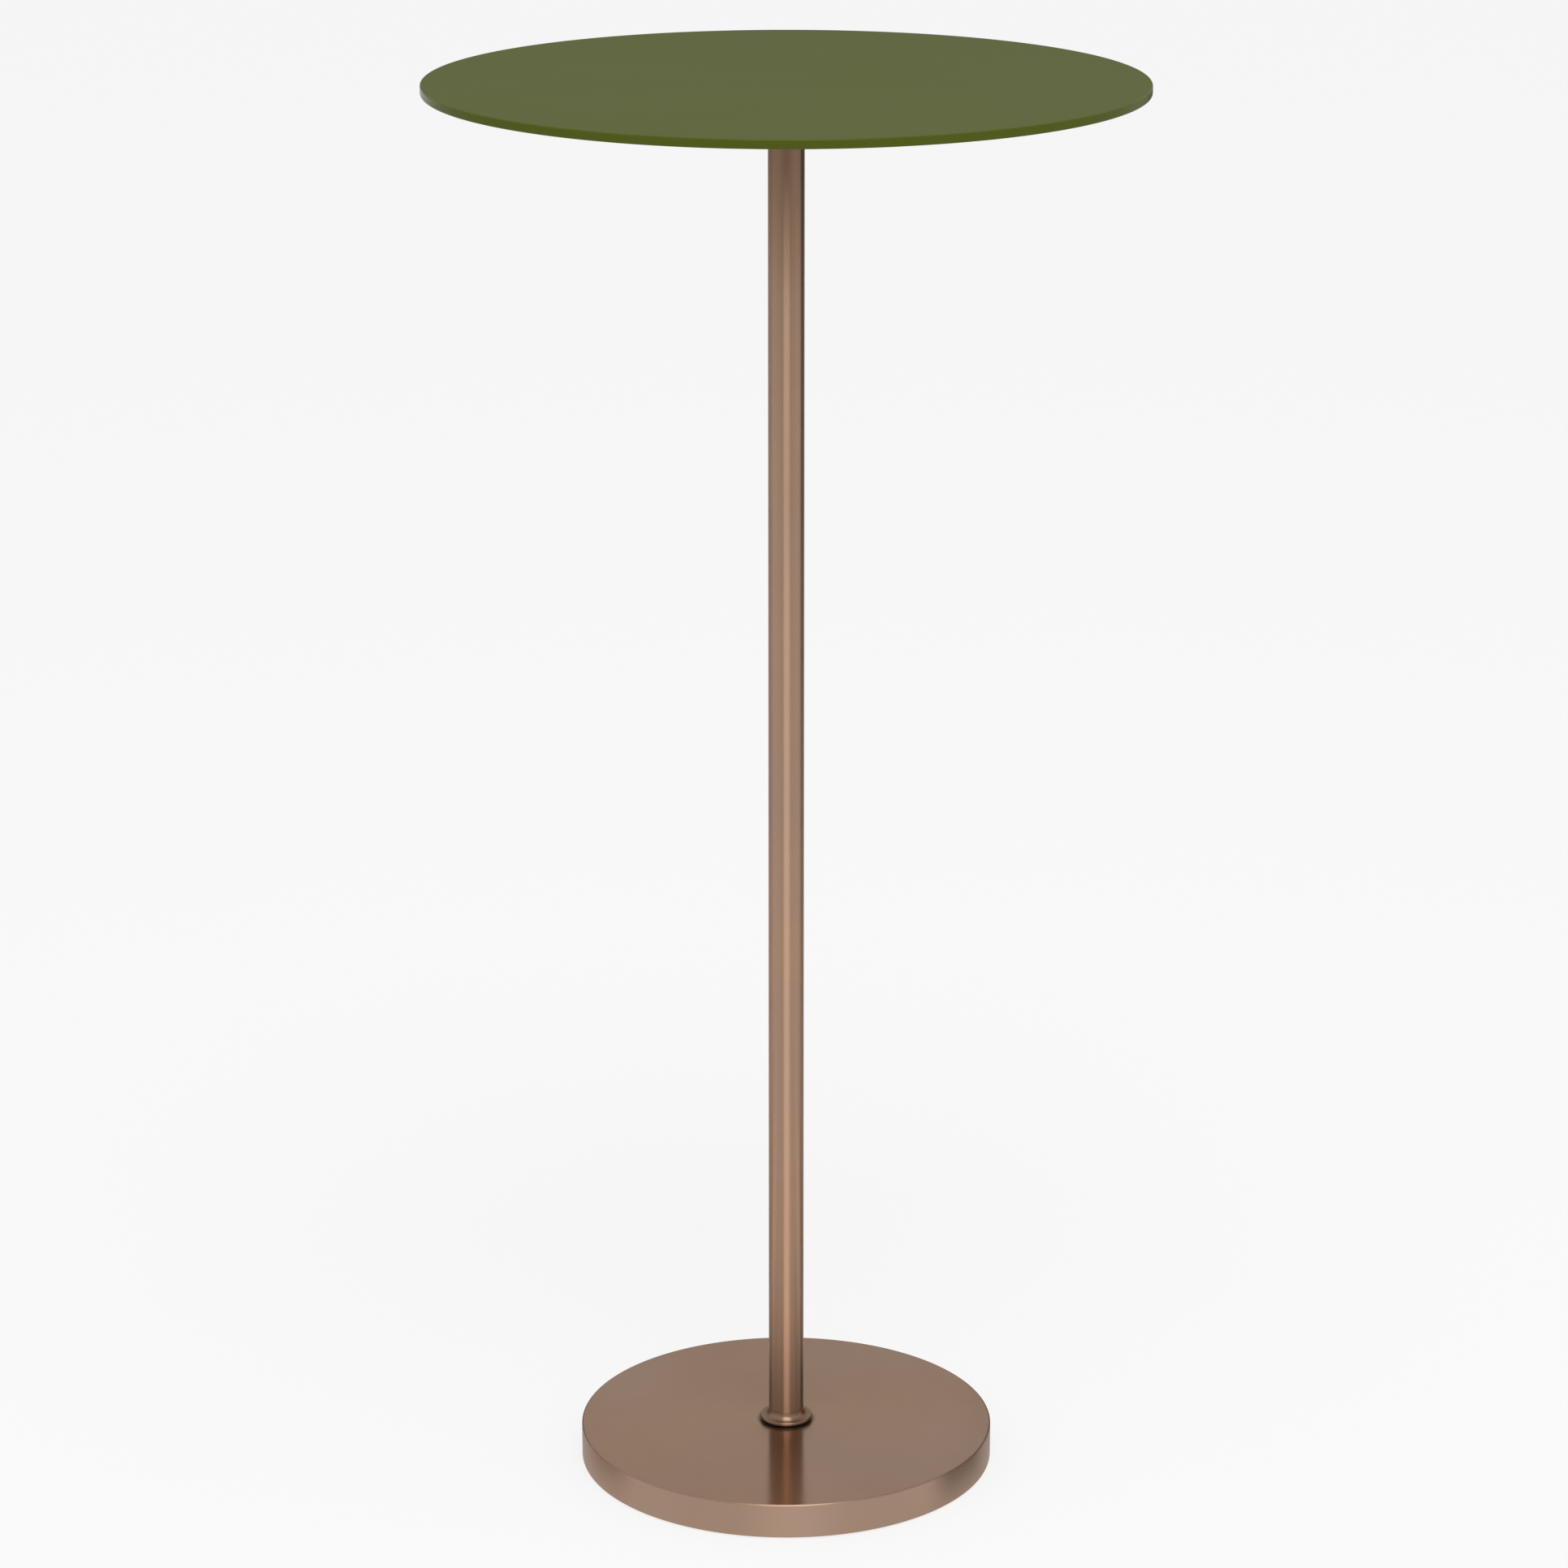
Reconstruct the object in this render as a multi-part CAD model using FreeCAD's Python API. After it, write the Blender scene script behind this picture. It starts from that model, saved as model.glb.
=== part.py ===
import FreeCAD, Part
import math
import os

# A wine table: a round lacquered steel top on a slim plated column and a heavy round base.
# A tie rod inside the column pulls the top's flange and the base against the tube's two ends.
# Millimetres. The floor is at Z = 0 and the column stands on the Z axis.

# Overall form
overall_height = 640.0
top_diameter = 314.0
top_thickness = 4.0
top_arris = 0.5
base_diameter = 190.0
base_thickness = 16.0
base_arris = 0.8

# Column tube, and its fit in the boss's socket and in the base's seat
tube_diameter = 16.0
tube_wall = 1.5
tube_seat_depth = 1.5
tube_clearance = 0.05

# Tie rod, with plain ends in place of its M8 threads
rod_diameter = 8.0
rod_chamfer = 0.8
thread_clearance = 0.05
rod_hole_clearance = 0.3
rod_top_gap = 0.5
rod_nut_stand = 0.5
rod_pad_gap = 0.2

# Flange plate that carries the top, and the turned boss welded into it by its spigot
flange_thickness = 4.0
flange_margin = 12.0
spigot_wall = 3.0
spigot_clearance = 0.05
boss_wall = 3.0
boss_height = 16.0
boss_chamfer = 0.8
socket_depth = 10.0

# Studs welded under the top, with their washers and nuts
stud_count = 3
stud_circle = 76.0
stud_diameter = 5.0
stud_stand = 1.5
stud_hole_clearance = 0.25
stud_washer_rim = 2.35
stud_washer_thickness = 1.0
stud_nut_wall = 1.5
stud_nut_height = 4.0

# Turned collar at the foot of the column, on its black washer
collar_flare = 4.0
collar_clearance = 0.1
collar_rim = 0.4
cove_height = 3.3
lip_thickness = 1.7
lip_chamfer = 0.5
collar_washer_inset = 1.3
collar_washer_thickness = 0.8

# Nut and washers in the base's counterbore
base_washer_diameter = 24.0
base_washer_thickness = 2.0
spring_washer_width = 3.3
spring_washer_thickness = 2.0
spring_washer_slit = 0.8
spring_washer_slant = 20.0
base_nut_wall = 2.5
base_nut_height = 4.0
spanner_room = 2.0

# Felt pad let into the underside
pad_thickness = 2.0
pad_projection = 0.5
pad_margin = 6.0
pad_clearance = 0.2
pad_hole_margin = 3.0

# Play of a washer on its stem
washer_clearance = 0.15

# Heights, worked out from the floor up
base_underside = pad_projection
base_top = base_underside + base_thickness
tube_seat = base_top - tube_seat_depth
rod_bottom = pad_thickness + rod_pad_gap
base_nut_bottom = rod_bottom + rod_nut_stand
spring_washer_bottom = base_nut_bottom + base_nut_height
base_washer_bottom = spring_washer_bottom + spring_washer_thickness
counterbore_top = base_washer_bottom + base_washer_thickness
collar_bottom = base_top + collar_washer_thickness

# Heights, worked out from the top down
top_underside = overall_height - top_thickness
flange_underside = top_underside - flange_thickness
boss_bottom = flange_underside - boss_height
tube_shoulder = boss_bottom + socket_depth
rod_top = top_underside - rod_top_gap
stud_washer_bottom = flange_underside - stud_washer_thickness
stud_nut_bottom = stud_washer_bottom - stud_nut_height
stud_bottom = stud_nut_bottom - stud_stand

# Radii that the pieces share
top_radius = top_diameter / 2
base_radius = base_diameter / 2
tube_radius = tube_diameter / 2
rod_radius = rod_diameter / 2
stud_radius = stud_diameter / 2
seat_radius = tube_radius + tube_clearance
spigot_radius = rod_radius + spigot_wall
boss_radius = tube_radius + boss_wall
flange_radius = stud_circle / 2 + flange_margin
counterbore_radius = base_washer_diameter / 2 + spanner_room
pad_radius = base_radius - pad_margin


class Outline:
    """A closed outline of (radius, height) points beside the Z axis, turned into a solid."""

    def __init__(self, radius, height):
        self.start = FreeCAD.Vector(radius, 0, height)
        self.here = self.start
        self.edges = []

    def line(self, radius, height):
        end = FreeCAD.Vector(radius, 0, height)
        self.edges.append(Part.LineSegment(self.here, end).toShape())
        self.here = end
        return self

    def cove(self, radius, height):
        """A hollow curve that leaves level and arrives upright."""
        end = FreeCAD.Vector(radius, 0, height)
        curve = Part.BezierCurve()
        curve.setPoles([self.here, FreeCAD.Vector(radius, 0, self.here.z), end])
        self.edges.append(curve.toShape())
        self.here = end
        return self

    def turned(self):
        self.line(self.start.x, self.start.z)
        face = Part.Face(Part.Wire(self.edges))
        return face.revolve(FreeCAD.Vector(0, 0, 0), FreeCAD.Vector(0, 0, 1), 360)


def ring(inner_radius, outer_radius, bottom, top):
    outline = Outline(inner_radius, bottom).line(outer_radius, bottom)
    return outline.line(outer_radius, top).line(inner_radius, top).turned()


def stem(radius, bottom, top, chamfer):
    """A plain round bar on the Z axis with both ends chamfered."""
    outline = Outline(0, bottom).line(radius - chamfer, bottom).line(radius, bottom + chamfer)
    return outline.line(radius, top - chamfer).line(radius - chamfer, top).line(0, top).turned()


def hex_nut(across_flats, bore_radius, bottom, height):
    corner = across_flats / math.sqrt(3)
    points = []
    for side in range(7):
        turn = math.radians(60 * side)
        points.append(FreeCAD.Vector(corner * math.cos(turn), corner * math.sin(turn), bottom))
    prism = Part.Face(Part.makePolygon(points)).extrude(FreeCAD.Vector(0, 0, height))
    return prism.cut(Part.makeCylinder(bore_radius, height, FreeCAD.Vector(0, 0, bottom)))


def at_studs(shape):
    """Copies of a shape on the Z axis, set round the stud circle."""
    copies = []
    for number in range(stud_count):
        copy = shape.copy()
        copy.translate(FreeCAD.Vector(stud_circle / 2, 0, 0))
        turn = 360 * (number + 0.5) / stud_count
        copy.rotate(FreeCAD.Vector(0, 0, 0), FreeCAD.Vector(0, 0, 1), turn)
        copies.append(copy)
    return copies


def make_table_top():
    rim = top_radius - top_arris
    outline = Outline(0, top_underside).line(rim, top_underside)
    outline.line(top_radius, top_underside + top_arris)
    outline.line(top_radius, overall_height - top_arris)
    return outline.line(rim, overall_height).line(0, overall_height).turned()


def make_stud():
    return Part.makeCylinder(stud_radius, top_underside - stud_bottom, FreeCAD.Vector(0, 0, stud_bottom))


def make_top_flange():
    plate = ring(spigot_radius + spigot_clearance, flange_radius, flange_underside, top_underside)
    hole_radius = stud_radius + stud_hole_clearance
    hole = Part.makeCylinder(hole_radius, flange_thickness, FreeCAD.Vector(0, 0, flange_underside))
    return plate.cut(at_studs(hole))


def make_flange_boss():
    thread_radius = rod_radius + thread_clearance
    outline = Outline(thread_radius, top_underside).line(spigot_radius, top_underside)
    outline.line(spigot_radius, flange_underside).line(boss_radius, flange_underside)
    outline.line(boss_radius, boss_bottom + boss_chamfer)
    outline.line(boss_radius - boss_chamfer, boss_bottom)
    outline.line(seat_radius, boss_bottom).line(seat_radius, tube_shoulder)
    return outline.line(thread_radius, tube_shoulder).turned()


def make_stud_washer():
    bore = stud_radius + washer_clearance
    return ring(bore, bore + stud_washer_rim, stud_washer_bottom, flange_underside)


def make_stud_nut():
    across_flats = stud_diameter + 2 * stud_nut_wall
    return hex_nut(across_flats, stud_radius + thread_clearance, stud_nut_bottom, stud_nut_height)


def make_column_tube():
    return ring(tube_radius - tube_wall, tube_radius, tube_seat, tube_shoulder)


def make_tie_rod():
    return stem(rod_radius, rod_bottom, rod_top, rod_chamfer)


def make_column_collar():
    bore = tube_radius + collar_clearance
    neck = bore + collar_rim
    lip = tube_radius + collar_flare
    lip_edge = lip - lip_chamfer
    lip_top = collar_bottom + lip_thickness
    collar_top = lip_top + cove_height
    outline = Outline(bore, collar_bottom).line(lip_edge, collar_bottom)
    outline.line(lip, collar_bottom + lip_chamfer).line(lip, lip_top - lip_chamfer)
    outline.line(lip_edge, lip_top).cove(neck, collar_top)
    return outline.line(bore, collar_top).turned()


def make_collar_washer():
    inner = tube_radius + collar_clearance
    outer = tube_radius + collar_flare - collar_washer_inset
    return ring(inner, outer, base_top, collar_bottom)


def make_base_disc():
    hole = rod_radius + rod_hole_clearance
    recess = pad_radius + pad_clearance
    outline = Outline(hole, counterbore_top).line(counterbore_radius, counterbore_top)
    outline.line(counterbore_radius, pad_thickness).line(recess, pad_thickness)
    outline.line(recess, base_underside).line(base_radius, base_underside)
    outline.line(base_radius, base_top - base_arris)
    outline.line(base_radius - base_arris, base_top)
    outline.line(seat_radius, base_top).line(seat_radius, tube_seat)
    return outline.line(hole, tube_seat).turned()


def make_base_washer():
    bore = rod_radius + washer_clearance
    return ring(bore, base_washer_diameter / 2, base_washer_bottom, counterbore_top)


def make_spring_washer():
    bore = rod_radius + washer_clearance
    outer = bore + spring_washer_width
    washer = ring(bore, outer, spring_washer_bottom, base_washer_bottom)
    middle = FreeCAD.Vector(0, 0, (spring_washer_bottom + base_washer_bottom) / 2)
    reach = 2 * spring_washer_thickness
    corner = middle + FreeCAD.Vector(0, -spring_washer_slit / 2, -reach / 2)
    slit = Part.makeBox(outer + spring_washer_width, spring_washer_slit, reach, corner)
    slit.rotate(middle, FreeCAD.Vector(1, 0, 0), spring_washer_slant)
    return washer.cut(slit)


def make_base_nut():
    across_flats = rod_diameter + 2 * base_nut_wall
    return hex_nut(across_flats, rod_radius + thread_clearance, base_nut_bottom, base_nut_height)


def make_base_pad():
    return ring(counterbore_radius + pad_hole_margin, pad_radius, 0, pad_thickness)


def save(node, *solids):
    shape = solids[0] if len(solids) == 1 else Part.makeCompound(list(solids))
    shape.exportStep("parts/" + node + ".step")


os.makedirs("parts", exist_ok=True)
save("table_top", make_table_top())
save("top_studs", *at_studs(make_stud()))
save("top_flange", make_top_flange())
save("flange_boss", make_flange_boss())
save("stud_washers", *at_studs(make_stud_washer()))
save("stud_nuts", *at_studs(make_stud_nut()))
save("column_tube", make_column_tube())
save("tie_rod", make_tie_rod())
save("column_collar", make_column_collar())
save("collar_washer", make_collar_washer())
save("base_disc", make_base_disc())
save("base_washer", make_base_washer())
save("base_spring_washer", make_spring_washer())
save("base_nut", make_base_nut())
save("base_pad", make_base_pad())
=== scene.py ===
import bmesh
import bpy
import math
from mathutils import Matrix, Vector
from mathutils.geometry import interpolate_bezier


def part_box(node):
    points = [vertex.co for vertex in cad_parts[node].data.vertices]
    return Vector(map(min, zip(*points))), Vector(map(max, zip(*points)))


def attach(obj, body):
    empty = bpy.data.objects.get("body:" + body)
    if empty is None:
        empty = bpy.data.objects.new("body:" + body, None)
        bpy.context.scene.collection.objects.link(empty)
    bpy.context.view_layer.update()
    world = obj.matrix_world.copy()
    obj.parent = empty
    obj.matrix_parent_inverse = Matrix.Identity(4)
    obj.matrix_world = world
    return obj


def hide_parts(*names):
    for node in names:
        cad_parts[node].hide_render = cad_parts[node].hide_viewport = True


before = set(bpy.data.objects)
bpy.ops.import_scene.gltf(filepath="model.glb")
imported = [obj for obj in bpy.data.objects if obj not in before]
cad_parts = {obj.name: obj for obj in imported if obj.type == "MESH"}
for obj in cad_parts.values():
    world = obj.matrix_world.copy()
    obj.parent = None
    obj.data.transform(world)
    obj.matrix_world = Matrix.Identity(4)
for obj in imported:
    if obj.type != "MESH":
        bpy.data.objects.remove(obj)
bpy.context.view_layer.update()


# Flange plate: a round steel disc under the top, cut with three stud holes and a middle hole.
# It is welded to its boss, then brushed and plated antique copper with the rest of the frame.

copper_tone = (0.452, 0.288, 0.198, 1.0)
copper_deep = (0.394, 0.247, 0.166, 1.0)
copper_taupe = (0.447, 0.316, 0.242, 1.0)
copper_rubbed = (0.560, 0.382, 0.284, 1.0)
# Dark tone for some corners, also used for painted shade.
copper_dark_corners_and_shade = (0.120, 0.075, 0.050, 1.0)
copper_edge_tint = (0.85, 0.83, 0.81, 1.0)
plate_roughness = 0.27
plate_grain = 0.8
grain_turn = 0.25
brush_pitch = 0.0004
band_pitch = 0.0057
clouds_per_metre = 26.0
stains_per_metre = 11.0
stain_range = (0.40, 0.65)
stain_share = 0.4
side_taupe_share = 0.5
side_width = 0.0006
roughness_swing = 0.03
brush_bump = 0.008
rub_width = 0.0012
rub_share = 0.7
dull_width = 0.0022
dull_share = 0.8
dull_roughness = 0.1
# How far the tone goes towards the dark tone in a span of painted shade.
painted_shade_share = 0.38
crisp_angle = math.radians(35)
noise_detail = 3.0
mix_share = 0
mix_first = 6
mix_second = 7
mix_colour = 2


class Wire:
    """A shader socket on which plain arithmetic adds Math nodes."""

    def __init__(self, socket):
        self.socket = socket

    def add(self, kind, settings, inputs, output=0):
        """Adds any node: its settings first, then the values and links of its sockets."""
        tree = self.socket.id_data
        node = tree.nodes.new("ShaderNode" + kind)
        for setting, value in settings.items():
            setattr(node, setting, value)
        for socket, value in inputs.items():
            if isinstance(value, Wire):
                tree.links.new(value.socket, node.inputs[socket])
            else:
                node.inputs[socket].default_value = value
        return Wire(node.outputs[output]) if node.outputs else None

    def beside(self, output):
        """Another output of the node that this wire comes from."""
        return Wire(self.socket.node.outputs[output])

    def maths(self, operation, first, second):
        """Adds one Math node."""
        return self.add("Math", {"operation": operation}, {0: first, 1: second})

    def __add__(self, other):
        return self.maths("ADD", self, other)

    def __radd__(self, other):
        return self.maths("ADD", other, self)

    def __sub__(self, other):
        return self.maths("SUBTRACT", self, other)

    def __rsub__(self, other):
        return self.maths("SUBTRACT", other, self)

    def __mul__(self, other):
        return self.maths("MULTIPLY", self, other)

    def __rmul__(self, other):
        return self.maths("MULTIPLY", other, self)

    def __truediv__(self, other):
        return self.maths("DIVIDE", self, other)

    def __rtruediv__(self, other):
        return self.maths("DIVIDE", other, self)

    def __pow__(self, other):
        return self.maths("POWER", self, other)

    def __rpow__(self, other):
        return self.maths("POWER", other, self)


def new_finish(name):
    """A new material, and a wire to the place on the piece in metres."""
    material = bpy.data.materials.new(name)
    material.use_nodes = True
    material.node_tree.nodes.clear()
    place = material.node_tree.nodes.new("ShaderNodeTexCoord")
    return material, Wire(place.outputs["Object"])


def noise(place, scale):
    """Soft random patches, as many to a unit of the place as the scale says."""
    return place.add("TexNoise", {}, {"Vector": place, "Scale": scale, "Detail": noise_detail})


def ease(value, start, end):
    """A smooth step from 0 at start to 1 at end."""
    limits = {"Value": value, "From Min": start, "From Max": end}
    return value.add("MapRange", {"interpolation_type": "SMOOTHSTEP"}, limits)


def blend(share, first, second):
    """The first colour, passing into the second as the share goes from 0 to 1. The Mix node's
    sockets go by number, because their names repeat."""
    colours = {mix_share: share, mix_first: first, mix_second: second}
    return share.add("Mix", {"data_type": "RGBA"}, colours, mix_colour)


def near_circles(radius, height, circles, width):
    """A mask that is 1 on circles round the column's axis and 0 at a width from them."""
    rings = []
    for circle_radius, circle_height in circles:
        across = radius - circle_radius
        along = height - circle_height
        rings.append(ease((across * across + along * along) ** 0.5, width, 0.0))
    return sum(rings)


def antique_copper(
    name, rubbed=(), dulled=(), painted_shade_spans=(), polished=None,
    roughness=plate_roughness, grain=plate_grain, tones=(copper_tone, copper_deep),
):
    """Plate brushed round and round, rubbed bright on some edges and left dark in some corners.
    Within a polished radius its face is buffed smoother and warmer than its side. It can be
    darkened from one height to another, as painted shade."""
    material, place = new_finish(name)
    x = place.add("SeparateXYZ", {}, {"Vector": place})
    y = x.beside("Y")
    height = x.beside("Z")
    radius = (x * x + y * y) ** 0.5
    outward = {"X": x / radius, "Y": y / radius}
    along = radius + height
    brush = noise(place.add("CombineXYZ", {}, {**outward, "Z": along / brush_pitch}), 1.0)
    band = noise(place.add("CombineXYZ", {}, {**outward, "Z": along / band_pitch}), 1.0)
    cloud = noise(place, clouds_per_metre)
    stain = ease(noise(place, stains_per_metre), *stain_range)
    tone = blend((cloud + band + 1.0 - brush) / 3, *tones)
    tone = blend(stain * stain_share, tone, copper_taupe)
    if polished:
        face_radius, face_roughness = polished
        side = ease(radius, face_radius, face_radius + side_width)
        roughness = face_roughness + side * (roughness - face_roughness)
        tone = blend(side * side_taupe_share, tone, copper_taupe)
    roughness = roughness + (brush + cloud - 1.0) * roughness_swing
    if rubbed:
        tone = blend(near_circles(radius, height, rubbed, rub_width) * rub_share, tone, copper_rubbed)
    # Painted shade: the tone darkens from the first height to the second.
    for fair, dark in painted_shade_spans:
        tone = blend(ease(height, fair, dark) * painted_shade_share, tone, copper_dark_corners_and_shade)
    if dulled:
        dull = near_circles(radius, height, dulled, dull_width)
        tone = blend(dull * dull_share, tone, copper_dark_corners_and_shade)
        roughness = roughness + dull * dull_roughness
    relief = {"Strength": brush_bump, "Distance": brush_pitch, "Height": brush}
    surface = place.add("BsdfPrincipled", {}, {
        "Base Color": tone,
        "Metallic": 1.0,
        "Roughness": roughness,
        "Specular Tint": copper_edge_tint,
        "Anisotropic": grain,
        "Anisotropic Rotation": grain_turn,
        "Normal": place.add("Bump", {}, relief),
    })
    surface.add("OutputMaterial", {}, {"Surface": surface})
    return material


def dress(node, finish):
    """Gives a piece that keeps its solid's shape a finish, and smooth shading between crisp edges."""
    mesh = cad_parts[node].data
    mesh.materials.clear()
    mesh.materials.append(finish)
    mesh.shade_smooth()
    mesh.set_sharp_from_angle(angle=crisp_angle)


flange_low, flange_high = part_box("top_flange")
flange_rims = [(flange_high.x, flange_low.z), (flange_high.x, flange_high.z)]
dress("top_flange", antique_copper("flange_copper", rubbed=flange_rims))


# Boss: a short turned steel collar that the column stands in, threaded through for the rod.
# Its spigot is set in the plate and welded round, and the rippled bead is plated over with it.

weld_leg = 0.0022
weld_ripple = 0.10
weld_ripples = 42
weld_steps_each = 6
weld_arc_points = 6
merge_distance = 1e-7

boss_low, boss_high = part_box("flange_boss")
boss_radius = boss_high.x
boss_rim = [(boss_radius, boss_low.z)]
weld_root = [(boss_radius, flange_low.z - weld_leg), (boss_radius + weld_leg, flange_low.z)]
boss_copper = antique_copper("boss_copper", rubbed=boss_rim, dulled=weld_root)
dress("flange_boss", boss_copper)


def skin(name, finish, loops, places=(Vector(),)):
    """A closed mesh round the Z axis from one outline for each step of the turn, set at each place."""
    body = bmesh.new()
    for place in places:
        rows = []
        for loop in loops:
            rows.append([body.verts.new(point + place) for point in loop])
        on_axis = loops[0][0].xy.length == 0
        for row, after in zip(rows, rows[1:] + rows[:1]):
            for index in range(1 if on_axis else 0, len(row)):
                body.faces.new((row[index - 1], row[index], after[index], after[index - 1]))
    bmesh.ops.remove_doubles(body, verts=body.verts, dist=merge_distance)
    bmesh.ops.recalc_face_normals(body, faces=body.faces)
    mesh = bpy.data.meshes.new(name)
    body.to_mesh(mesh)
    body.free()
    mesh.materials.append(finish)
    mesh.shade_smooth()
    mesh.set_sharp_from_angle(angle=crisp_angle)
    piece = bpy.data.objects.new(name, mesh)
    bpy.context.scene.collection.objects.link(piece)
    piece.modifiers.new("flat_faces", "WEIGHTED_NORMAL").keep_sharp = True
    return piece


def upright(angle, radius, height):
    """A point at an angle round the column's axis, from its radius and height."""
    return Vector((radius * math.cos(angle), radius * math.sin(angle), height))


weld_loops = []
for step in range(weld_ripples * weld_steps_each):
    turn = math.tau * step / (weld_ripples * weld_steps_each)
    leg = weld_leg * (1 - weld_ripple + weld_ripple * math.sin(weld_ripples * turn))
    loop = [upright(turn, boss_radius, flange_low.z)]
    for point in range(weld_arc_points):
        arc = math.pi / 2 * point / (weld_arc_points - 1)
        loop.append(upright(turn, boss_radius + leg * math.cos(arc), flange_low.z - leg * math.sin(arc)))
    weld_loops.append(loop)
boss_weld = skin("boss_weld", boss_copper, weld_loops)
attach(boss_weld, "root")


# Tie rod: a zinc plated steel rod down the middle of the column.
# It screws into the boss, and its nut under the base pulls the whole stand tight.

zinc_bright = (0.62, 0.63, 0.65, 1.0)
zinc_grey = (0.42, 0.43, 0.45, 1.0)
zinc_straw = (0.60, 0.56, 0.44, 1.0)
zinc_roughness = 0.3
zinc_wear = 0.1
crystals_per_metre = 900.0
crystal_depth = 0.0001
crystal_bump = 0.15
scuffs_per_metre = 1400.0
scuff_range = (0.56, 0.66)
straw_per_metre = 130.0
straw_range = (0.45, 0.70)
straw_share = 0.5


def zinc_plate(name):
    """Bright zinc with a soft crystal pattern, a trace of straw colour and fine scuffs."""
    material, place = new_finish(name)
    crystal = place.add("TexVoronoi", {}, {"Vector": place, "Scale": crystals_per_metre})
    scuff = ease(noise(place, scuffs_per_metre), *scuff_range)
    straw = ease(noise(place, straw_per_metre), *straw_range)
    tone = blend((crystal + scuff) / 2, zinc_bright, zinc_grey)
    relief = {"Strength": crystal_bump, "Distance": crystal_depth, "Height": crystal}
    surface = place.add("BsdfPrincipled", {}, {
        "Base Color": blend(straw * straw_share, tone, zinc_straw),
        "Metallic": 1.0,
        "Roughness": zinc_roughness + (straw + scuff) * zinc_wear,
        "Normal": place.add("Bump", {}, relief),
    })
    surface.add("OutputMaterial", {}, {"Surface": surface})
    return material


dress("tie_rod", zinc_plate("rod_zinc"))


# Column: a length of 16 mm round steel tube, cut square at both ends.
# It is brushed round and round, plated antique copper, and clamped between the boss and the base.

# The column's copper is painted paler than the rest of the stand's, as painted light.
column_painted_light_tone = (0.560, 0.357, 0.246, 1.0)
column_painted_light_deep = (0.488, 0.307, 0.206, 1.0)
tube_wall = 0.0015
tube_end_rounding = 0.0002
tube_roughness = 0.40
tube_grain = 1.0
# Lengths of painted shade on the column, above the collar and under the boss.
foot_painted_shade_length = 0.065
head_painted_shade_length = 0.085
tube_steps = 128
corner_points = 7
arc_handle = 0.55


def rounded(corners):
    """An outline's points beside the axis, from corners of (radius, height, rounding)."""
    points = []
    for index, (radius, height, rounding) in enumerate(corners):
        corner = Vector((radius, 0, height))
        if rounding == 0:
            points.append(corner)
            continue
        last_radius, last_height, _ = corners[index - 1]
        next_radius, next_height, _ = corners[(index + 1) % len(corners)]
        start = corner + (Vector((last_radius, 0, last_height)) - corner).normalized() * rounding
        end = corner + (Vector((next_radius, 0, next_height)) - corner).normalized() * rounding
        handles = start.lerp(corner, arc_handle), end.lerp(corner, arc_handle)
        points += interpolate_bezier(start, *handles, end, corner_points)
    return points


def turned(corners, steps):
    """The outline at each step of a full turn, as a lathe would cut it."""
    points = rounded(corners)
    loops = []
    for step in range(steps):
        turn = math.tau * step / steps
        loops.append([upright(turn, point.x, point.z) for point in points])
    return loops


tube_low, tube_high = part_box("column_tube")
tube_radius = tube_high.x
collar_low, collar_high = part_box("column_collar")
column_copper = antique_copper(
    "column_copper",
    tones=(column_painted_light_tone, column_painted_light_deep),
    roughness=tube_roughness,
    grain=tube_grain,
    # Painted shade: the column darkens towards the collar and towards the boss under the top.
    painted_shade_spans=[
        (collar_high.z + foot_painted_shade_length, collar_high.z),
        (boss_low.z - head_painted_shade_length, boss_low.z),
    ],
)
column = skin("plated_column", column_copper, turned([
    (tube_radius - tube_wall, tube_low.z, 0),
    (tube_radius, tube_low.z, tube_end_rounding),
    (tube_radius, tube_high.z, tube_end_rounding),
    (tube_radius - tube_wall, tube_high.z, 0),
], tube_steps))
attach(column, "root")
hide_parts("column_tube")


# Collar: a small ring turned from bar, with a hollow cove above a rounded lip.
# It slips down the column and covers the joint with the base, plated like the rest of the stand.

collar_clearance = 0.0001
collar_rim = 0.0004
lip_thickness = 0.0017
lip_rounding = 0.0007
cove_rounding = 0.0026
collar_roughness = 0.38
collar_steps = 128

collar_radius = collar_high.x
collar_bore = tube_radius + collar_clearance
collar_neck = collar_bore + collar_rim
lip_top = collar_low.z + lip_thickness
# The collar's tone is darkened from its top down to its lip, as painted shade near the base.
collar_copper = antique_copper(
    "collar_copper",
    roughness=collar_roughness,
    painted_shade_spans=[(collar_high.z, lip_top)],
)
collar = skin("turned_collar", collar_copper, turned([
    (collar_bore, collar_low.z, 0),
    (collar_radius, collar_low.z, lip_rounding),
    (collar_radius, lip_top, lip_rounding),
    (collar_neck, lip_top, cove_rounding),
    (collar_neck, collar_high.z, 0),
    (collar_bore, collar_high.z, 0),
], collar_steps))
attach(collar, "root")
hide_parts("column_collar")


# Collar washer: a thin ring of black fibre that keeps the collar's lip off the base.
# It is punched from sheet, a little smaller than the lip, and shows as a dark line.

fibre_black = (0.012, 0.011, 0.010, 1.0)
fibre_grey = (0.035, 0.033, 0.031, 1.0)
flecks_per_metre = 2600.0
fleck_range = (0.52, 0.70)
fibre_roughness = 0.75
fleck_roughness = 0.9
fleck_depth = 0.0001
fleck_bump = 0.3
fibre_gloss = 0.2


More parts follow.
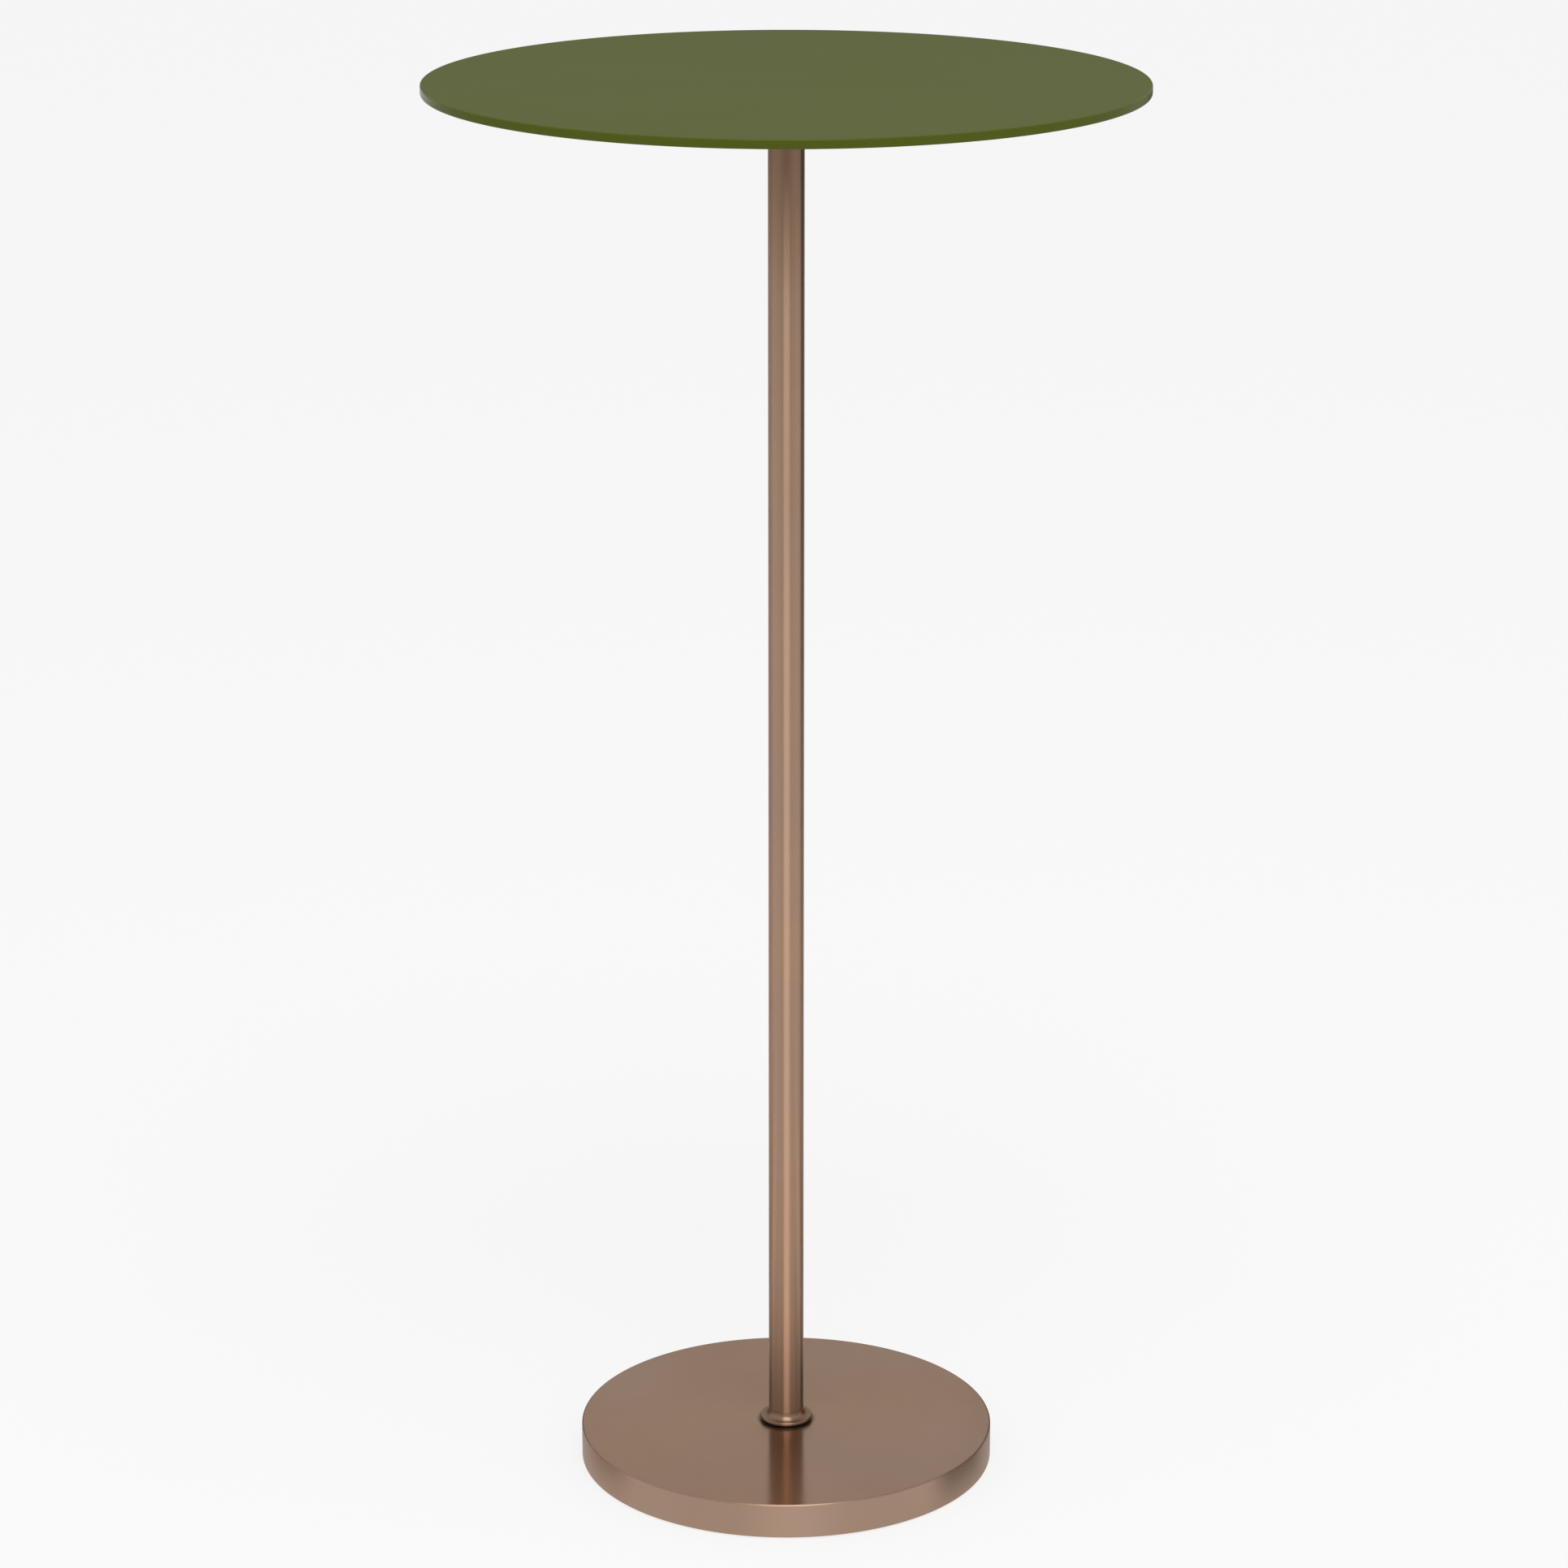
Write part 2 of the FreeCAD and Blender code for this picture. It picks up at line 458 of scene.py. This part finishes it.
def black_fibre(name):
    """Matt pressed fibre with a pale fleck here and there."""
    material, place = new_finish(name)
    fleck = ease(noise(place, flecks_per_metre), *fleck_range)
    relief = {"Strength": fleck_bump, "Distance": fleck_depth, "Height": fleck}
    surface = place.add("BsdfPrincipled", {}, {
        "Base Color": blend(fleck, fibre_black, fibre_grey),
        "Roughness": fibre_roughness + fleck * (fleck_roughness - fibre_roughness),
        "Specular IOR Level": fibre_gloss,
        "Normal": place.add("Bump", {}, relief),
    })
    surface.add("OutputMaterial", {}, {"Surface": surface})
    return material


dress("collar_washer", black_fibre("washer_fibre"))


# Base: a heavy disc turned from 16 mm steel plate, with a fine rounded arris.
# A seat on top takes the column, and the underside is bored for the nut and recessed for the felt.

rod_hole_radius = 0.0043
counterbore_radius = 0.014
counterbore_rounding = 0.0004
recess_margin = 0.0058
seat_clearance = 0.00005
base_arris = 0.0008
base_foot_rounding = 0.0006
base_side_roughness = 0.45
base_face_roughness = 0.21
base_grain = 0.85
base_steps = 256

base_low, base_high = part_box("base_disc")
pad_low, pad_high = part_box("base_pad")
_, base_washer_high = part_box("base_washer")
base_radius = base_high.x
recess_radius = base_radius - recess_margin
seat_radius = tube_radius + seat_clearance
base_copper = antique_copper(
    "base_copper",
    dulled=[(collar_radius, base_high.z)],
    roughness=base_side_roughness,
    grain=base_grain,
    polished=(base_radius - base_arris, base_face_roughness),
)
base = skin("heavy_base", base_copper, turned([
    (rod_hole_radius, base_washer_high.z, 0),
    (counterbore_radius, base_washer_high.z, 0),
    (counterbore_radius, pad_high.z, counterbore_rounding),
    (recess_radius, pad_high.z, 0),
    (recess_radius, base_low.z, 0),
    (base_radius, base_low.z, base_foot_rounding),
    (base_radius, base_high.z, base_arris),
    (seat_radius, base_high.z, 0),
    (seat_radius, tube_low.z, 0),
    (rod_hole_radius, tube_low.z, 0),
], base_steps))
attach(base, "root")
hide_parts("base_disc")


# Base washers: a wide plain washer and a split spring washer in the base's counterbore.
# They are punched and coiled from steel, zinc plated, and held by the nut on the rod.

for washer in ("base_washer", "base_spring_washer"):
    dress(washer, zinc_plate(washer + "_zinc"))


# Base nut: a thin steel hexagon nut on the rod's lower end, zinc plated.
# Its corners are chamfered all round, and its bore is countersunk for the thread.

base_nut_flats = 0.013
base_nut_bore = 0.00405
nut_crown_share = 0.97
nut_crown_slope = math.tan(math.radians(30))
nut_countersink = 0.0004
nut_steps = 72


def hexagon_nut(across_flats, bore, low, high):
    """A nut's outline at each step of a full turn, with its corners chamfered to a crown."""
    flat = across_flats / 2
    crown = flat * nut_crown_share
    loops = []
    for step in range(nut_steps):
        turn = math.tau * step / nut_steps
        side = flat / math.cos(turn % (math.pi / 3) - math.pi / 6)
        drop = (side - crown) * nut_crown_slope
        loops.append([
            upright(turn, bore, low + nut_countersink),
            upright(turn, bore + nut_countersink, low),
            upright(turn, crown, low),
            upright(turn, side, low + drop),
            upright(turn, side, high - drop),
            upright(turn, crown, high),
            upright(turn, bore + nut_countersink, high),
            upright(turn, bore, high - nut_countersink),
        ])
    return loops


base_nut_low, base_nut_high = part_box("base_nut")
base_nut_loops = hexagon_nut(base_nut_flats, base_nut_bore, base_nut_low.z, base_nut_high.z)
base_nut = skin("crowned_base_nut", zinc_plate("base_nut_zinc"), base_nut_loops)
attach(base_nut, "root")
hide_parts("base_nut")


# Felt ring: a ring of dense dark wool felt, glued into the recess under the base.
# It stands half a millimetre proud of the steel, so that the table doesn't mark the floor.

felt_dark = (0.018, 0.018, 0.020, 1.0)
felt_pale = (0.075, 0.074, 0.078, 1.0)
felt_rounding = 0.0004
felt_steps = 192
felt_hole_margin = 0.003
felt_roughness = 0.9
felt_gloss = 0.1
felt_sheen = 0.3
strands_per_metre = 2600.0
strand_draw = 0.15
strand_range = (0.40, 0.65)
strand_depth = 0.0003
strand_bump = 0.7
nap_per_metre = 90.0


def wool_felt(name):
    """Matted wool: short crossed strands, pale over dark, with a soft nap."""
    material, place = new_finish(name)
    combed = place.add("Mapping", {}, {"Vector": place, "Scale": (1.0, strand_draw, 1.0)})
    crossed = place.add("Mapping", {}, {"Vector": place, "Scale": (strand_draw, 1.0, 1.0)})
    strands = (noise(combed, strands_per_metre) + noise(crossed, strands_per_metre)) / 2
    nap = noise(place, nap_per_metre)
    relief = {"Strength": strand_bump, "Distance": strand_depth, "Height": strands}
    surface = place.add("BsdfPrincipled", {}, {
        "Base Color": blend((ease(strands, *strand_range) * 2 + nap) / 3, felt_dark, felt_pale),
        "Roughness": felt_roughness,
        "Specular IOR Level": felt_gloss,
        "Sheen Weight": felt_sheen,
        "Normal": place.add("Bump", {}, relief),
    })
    surface.add("OutputMaterial", {}, {"Surface": surface})
    return material


felt_hole = counterbore_radius + felt_hole_margin
felt_ring = skin("felt_ring", wool_felt("pad_felt"), turned([
    (felt_hole, pad_low.z, felt_rounding),
    (pad_high.x, pad_low.z, felt_rounding),
    (pad_high.x, pad_high.z, 0),
    (felt_hole, pad_high.z, 0),
], felt_steps))
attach(felt_ring, "root")
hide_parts("base_pad")


# Top: a disc cut from 4 mm steel plate, its edges broken and smoothed by hand.
# It is sprayed olive green on every side and stoved, which leaves a satin skin with a faint peel.

green_face = (0.080, 0.099, 0.009, 1.0)
green_thin = (0.099, 0.122, 0.0145, 1.0)
green_deep = (0.074, 0.092, 0.008, 1.0)
top_arris = 0.0006
top_steps = 256
top_roughness = 0.46
rim_roughness = 0.18
thin_share = 0.8
peel_per_metre = 420.0
peel_depth = 0.0002
peel_bump = 0.05
mist_per_metre = 14.0
mist_middle = 0.5
lacquer_swing = 0.1
lacquer_ior = 1.16


def green_lacquer(name, rim):
    """Stoved satin lacquer with a fine peel, which runs thinner, paler and glossier round the rim."""
    material, place = new_finish(name)
    x = place.add("SeparateXYZ", {}, {"Vector": place})
    y = x.beside("Y")
    thin = ease((x * x + y * y) ** 0.5, rim - top_arris, rim)
    peel = noise(place, peel_per_metre)
    mist = noise(place, mist_per_metre)
    tone = blend(mist, green_deep, green_face)
    gloss = thin * (top_roughness - rim_roughness)
    relief = {"Strength": peel_bump, "Distance": peel_depth, "Height": peel}
    surface = place.add("BsdfPrincipled", {}, {
        "Base Color": blend(thin * thin_share, tone, green_thin),
        "Roughness": top_roughness - gloss + (mist - mist_middle) * lacquer_swing,
        "IOR": lacquer_ior,
        "Normal": place.add("Bump", {}, relief),
    })
    surface.add("OutputMaterial", {}, {"Surface": surface})
    return material


top_low, top_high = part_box("table_top")
top_radius = top_high.x
top = skin("lacquered_top", green_lacquer("top_lacquer", top_radius), turned([
    (0, top_low.z, 0),
    (top_radius, top_low.z, top_arris),
    (top_radius, top_high.z, top_arris),
    (0, top_high.z, 0),
], top_steps))
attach(top, "root")
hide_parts("table_top")


# Studs: three short lengths of M5 screwed rod, welded to the underside of the top.
# They pass down through the flange plate, so that no fixing shows on the table's face.

stud_count = 3
stud_radius = 0.0025
thread_pitch = 0.0008
thread_depth = 0.0004
thread_rows_each = 6
stud_steps = 24

stud_low, stud_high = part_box("top_studs")
stud_circle = -stud_low.x - stud_radius
stud_places = []
for number in range(stud_count):
    stud_places.append(upright(math.tau * (number + 0.5) / stud_count, stud_circle, 0))
thread_rows = round((stud_high.z - stud_low.z) / thread_pitch * thread_rows_each)
stud_loops = []
for step in range(stud_steps):
    turn = math.tau * step / stud_steps
    loop = [upright(turn, 0, stud_low.z)]
    for row in range(thread_rows + 1):
        rise = (stud_high.z - stud_low.z) * row / thread_rows
        groove = abs((rise / thread_pitch - turn / math.tau) % 1 * 2 - 1)
        lead_in = stud_radius - thread_depth + rise
        loop.append(upright(turn, min(stud_radius - thread_depth * groove, lead_in), stud_low.z + rise))
    loop.append(upright(turn, 0, stud_high.z))
    stud_loops.append(loop)
studs = skin("screwed_studs", zinc_plate("stud_zinc"), stud_loops, stud_places)
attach(studs, "root")
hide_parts("top_studs")


# Stud washers and nuts: one plain washer and one M5 hexagon nut on each stud.
# They are zinc plated steel, and draw the flange plate up against the top.

stud_nut_flats = 0.008
stud_nut_bore = 0.00255

dress("stud_washers", zinc_plate("stud_washer_zinc"))
stud_nut_low, stud_nut_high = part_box("stud_nuts")
stud_nut_loops = hexagon_nut(stud_nut_flats, stud_nut_bore, stud_nut_low.z, stud_nut_high.z)
stud_nuts = skin("crowned_stud_nuts", zinc_plate("stud_nut_zinc"), stud_nut_loops, stud_places)
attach(stud_nuts, "root")
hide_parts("stud_nuts")


# Studio floor: a wide sheet of pale matt paper under the table, which takes its soft shadow.
# It glows in pictures and reflections, so that it reads as white, and is clear from below.
# In reflections the glow fades far in front and at the sides, where the lamps wouldn't reach it.

floor_reach = 16.0
floor_drop = 0.0002
paper_shade = 0.86
paper_glow = 0.8
paper_grains_per_metre = 300.0
paper_grain_depth = 0.0002
paper_bump = 0.05
glow_whole = 1.2
glow_end = 2.6


def grey(level):
    """An even grey, from black at 0 to white at 1."""
    return level, level, level, 1.0


floor_mesh = bpy.data.meshes.new("paper_floor")
floor_corners = []
for side_x, side_y in ((-1, -1), (1, -1), (1, 1), (-1, 1)):
    floor_corners.append((side_x * floor_reach, side_y * floor_reach, -floor_drop))
floor_mesh.from_pydata(floor_corners, [], [(0, 1, 2, 3)])
floor = bpy.data.objects.new("paper_floor", floor_mesh)
bpy.context.scene.collection.objects.link(floor)
paper, paper_place = new_finish("white_paper")
paper_grain = noise(paper_place, paper_grains_per_metre)
paper_relief = {"Strength": paper_bump, "Distance": paper_grain_depth, "Height": paper_grain}
matt = paper_place.add("BsdfDiffuse", {}, {
    "Color": grey(paper_shade),
    "Normal": paper_place.add("Bump", {}, paper_relief),
})
glow = paper_place.add("Emission", {}, {"Strength": 1.0})
paper_x = paper_place.add("SeparateXYZ", {}, {"Vector": paper_place})
paper_front = paper_x.maths("MINIMUM", paper_x.beside("Y"), 0.0)
lit = ease((paper_x * paper_x + paper_front * paper_front) ** 0.5, glow_end, glow_whole)
seen = paper_place.add("LightPath", {}, {}, "Is Camera Ray")
mirrored = seen.beside("Is Glossy Ray") + seen.beside("Is Transmission Ray")
sheet = paper_place.add("MixShader", {}, {0: seen * paper_glow + mirrored * lit, 1: matt, 2: glow})
clear = paper_place.add("BsdfTransparent", {}, {})
below = paper_place.add("NewGeometry", {}, {}, "Backfacing")
sheet = paper_place.add("MixShader", {}, {0: below, 1: sheet, 2: clear})
sheet.add("OutputMaterial", {}, {"Surface": sheet})
floor_mesh.materials.append(paper)


# Studio light: a soft grey room, paler overhead and at both sides, with one large softbox above.
# A second softbox over the camera shows only in reflections, as the bright line down the column.
# Cloth flags, which also show only there, shade the column's head and edges and the base's side.

room_low = 0.32
room_side = 0.6
room_high = 0.665
room_rise = (0.05, 0.4)
main_place = (0.15, -0.9, 2.5)
main_aim = (0, 0, 0.3)
main_size = (1.2, 1.2)
main_watts = 20.8
front_place = (0.05, -1.5, 1.22)
front_aim = (0, 0, 0.5)
front_size = (1.1, 0.56)
front_watts = 6.7
side_flag_bearing = math.radians(126)
side_flag_distance = 0.2
side_flag_width = 0.17
side_flag_heights = (0.0, 0.63)
right_flag_shades = (0.85, 0.22)
left_flag_shades = (0.95, 0.9)
foot_flag_bearing = math.radians(122)
foot_flag_distance = 0.17
foot_flag_width = 0.15
foot_flag_heights = (0.0, 0.06)
right_foot_flag_shades = (0.02, 0.02)
left_foot_flag_shades = (0.3, 0.3)
right_base_flag_bearing = math.radians(71)
left_base_flag_bearing = math.radians(-75)
base_flag_distance = 0.112
base_flag_width = 0.06
base_flag_heights = (0.0, 0.03)
right_base_flag_shades = (0.35, 0.35)
left_base_flag_shades = (0.95, 0.95)
head_flag_distance = 2.0
head_flag_width = 2.0
head_flag_heights = (0.16, 0.76)
head_flag_shades = (0.04, 0.04)
flag_feather = 0.4
weave_per_metre = 900.0
weave_depth = 0.0002
weave_bump = 0.3


def softbox(name, place, aim, size):
    """A rectangular lamp that faces its aim and that the camera doesn't see."""
    lamp = bpy.data.lights.new(name, "AREA")
    lamp.shape = "RECTANGLE"
    lamp.size, lamp.size_y = size
    box = bpy.data.objects.new(name, lamp)
    box.location = place
    box.rotation_euler = (Vector(aim) - Vector(place)).to_track_quat("-Z", "Y").to_euler()
    box.visible_camera = False
    bpy.context.scene.collection.objects.link(box)
    return box


main_softbox = softbox("main_softbox", main_place, main_aim, main_size)
main_softbox.data.energy = main_watts
front_softbox = softbox("front_softbox", front_place, front_aim, front_size)
front_softbox.data.energy = front_watts
front_softbox.visible_diffuse = False


def studio_flag(name, bearing, distance, width, heights, shades):
    """An upright cloth panel, shaded from foot to head and feathered at its sides, which only
    reflections show."""
    low, high = heights
    inner = width * (1 - flag_feather) / 2
    outer = width * (1 + flag_feather) / 2
    reach = math.hypot(distance, outer)
    corners = []
    for side, height in ((-1, low), (1, low), (1, high), (-1, high)):
        turn = bearing + side * math.atan2(outer, distance)
        corners.append((reach * math.sin(turn), -reach * math.cos(turn), height))
    mesh = bpy.data.meshes.new(name)
    mesh.from_pydata(corners, [], [(0, 1, 2, 3)])
    cloth, place = new_finish(name + "_cloth")
    x = place.add("SeparateXYZ", {}, {"Vector": place})
    along = x * math.cos(bearing) + x.beside("Y") * math.sin(bearing)
    cover = ease((along * along) ** 0.5, outer, inner)
    weave = noise(place, weave_per_metre)
    relief = {"Strength": weave_bump, "Distance": weave_depth, "Height": weave}
    foot_shade, head_shade = shades
    matt = place.add("BsdfDiffuse", {}, {
        "Color": blend(ease(x.beside("Z"), low, high), grey(foot_shade), grey(head_shade)),
        "Normal": place.add("Bump", {}, relief),
    })
    gauze = place.add("MixShader", {}, {0: cover, 1: place.add("BsdfTransparent", {}, {}), 2: matt})
    gauze.add("OutputMaterial", {}, {"Surface": gauze})
    mesh.materials.append(cloth)
    flag = bpy.data.objects.new(name, mesh)
    flag.visible_camera = False
    flag.visible_diffuse = False
    flag.visible_shadow = False
    bpy.context.scene.collection.objects.link(flag)


side_flag_size = (side_flag_distance, side_flag_width, side_flag_heights)
studio_flag("right_flag", side_flag_bearing, *side_flag_size, right_flag_shades)
studio_flag("left_flag", -side_flag_bearing, *side_flag_size, left_flag_shades)
foot_flag_size = (foot_flag_distance, foot_flag_width, foot_flag_heights)
studio_flag("right_foot_flag", foot_flag_bearing, *foot_flag_size, right_foot_flag_shades)
studio_flag("left_foot_flag", -foot_flag_bearing, *foot_flag_size, left_foot_flag_shades)
base_flag_size = (base_flag_distance, base_flag_width, base_flag_heights)
studio_flag("right_base_flag", right_base_flag_bearing, *base_flag_size, right_base_flag_shades)
studio_flag("left_base_flag", left_base_flag_bearing, *base_flag_size, left_base_flag_shades)
studio_flag("head_flag", 0.0, head_flag_distance, head_flag_width, head_flag_heights, head_flag_shades)

room = bpy.data.worlds.new("grey_room")
room.use_nodes = True
room.node_tree.nodes.clear()
direction = Wire(room.node_tree.nodes.new("ShaderNodeTexCoord").outputs["Generated"])
across = direction.add("SeparateXYZ", {}, {"Vector": direction})
low_level = room_low + across * across * room_side
level = low_level + ease(across.beside("Z"), *room_rise) * (room_high - low_level)
sky = direction.add("Background", {}, {"Color": grey(1.0), "Strength": level})
sky.add("OutputWorld", {}, {"Surface": sky})
bpy.context.scene.world = room
bpy.context.scene.view_settings.view_transform = "Standard"


# Camera: a long lens on a stand two metres off, looking down at the whole table.
# Its place and pitch were fitted to the outlines of the top and the base.

camera_place = (-0.001, -2.0908, 0.9531)
camera_pitch = math.radians(16.725)
camera_lens = 111.95

camera = bpy.data.objects.new("camera", bpy.data.cameras.new("camera"))
camera.data.lens = camera_lens
camera.location = camera_place
camera.rotation_euler = (math.pi / 2 - camera_pitch, 0, 0)
bpy.context.scene.collection.objects.link(camera)
bpy.context.scene.camera = camera
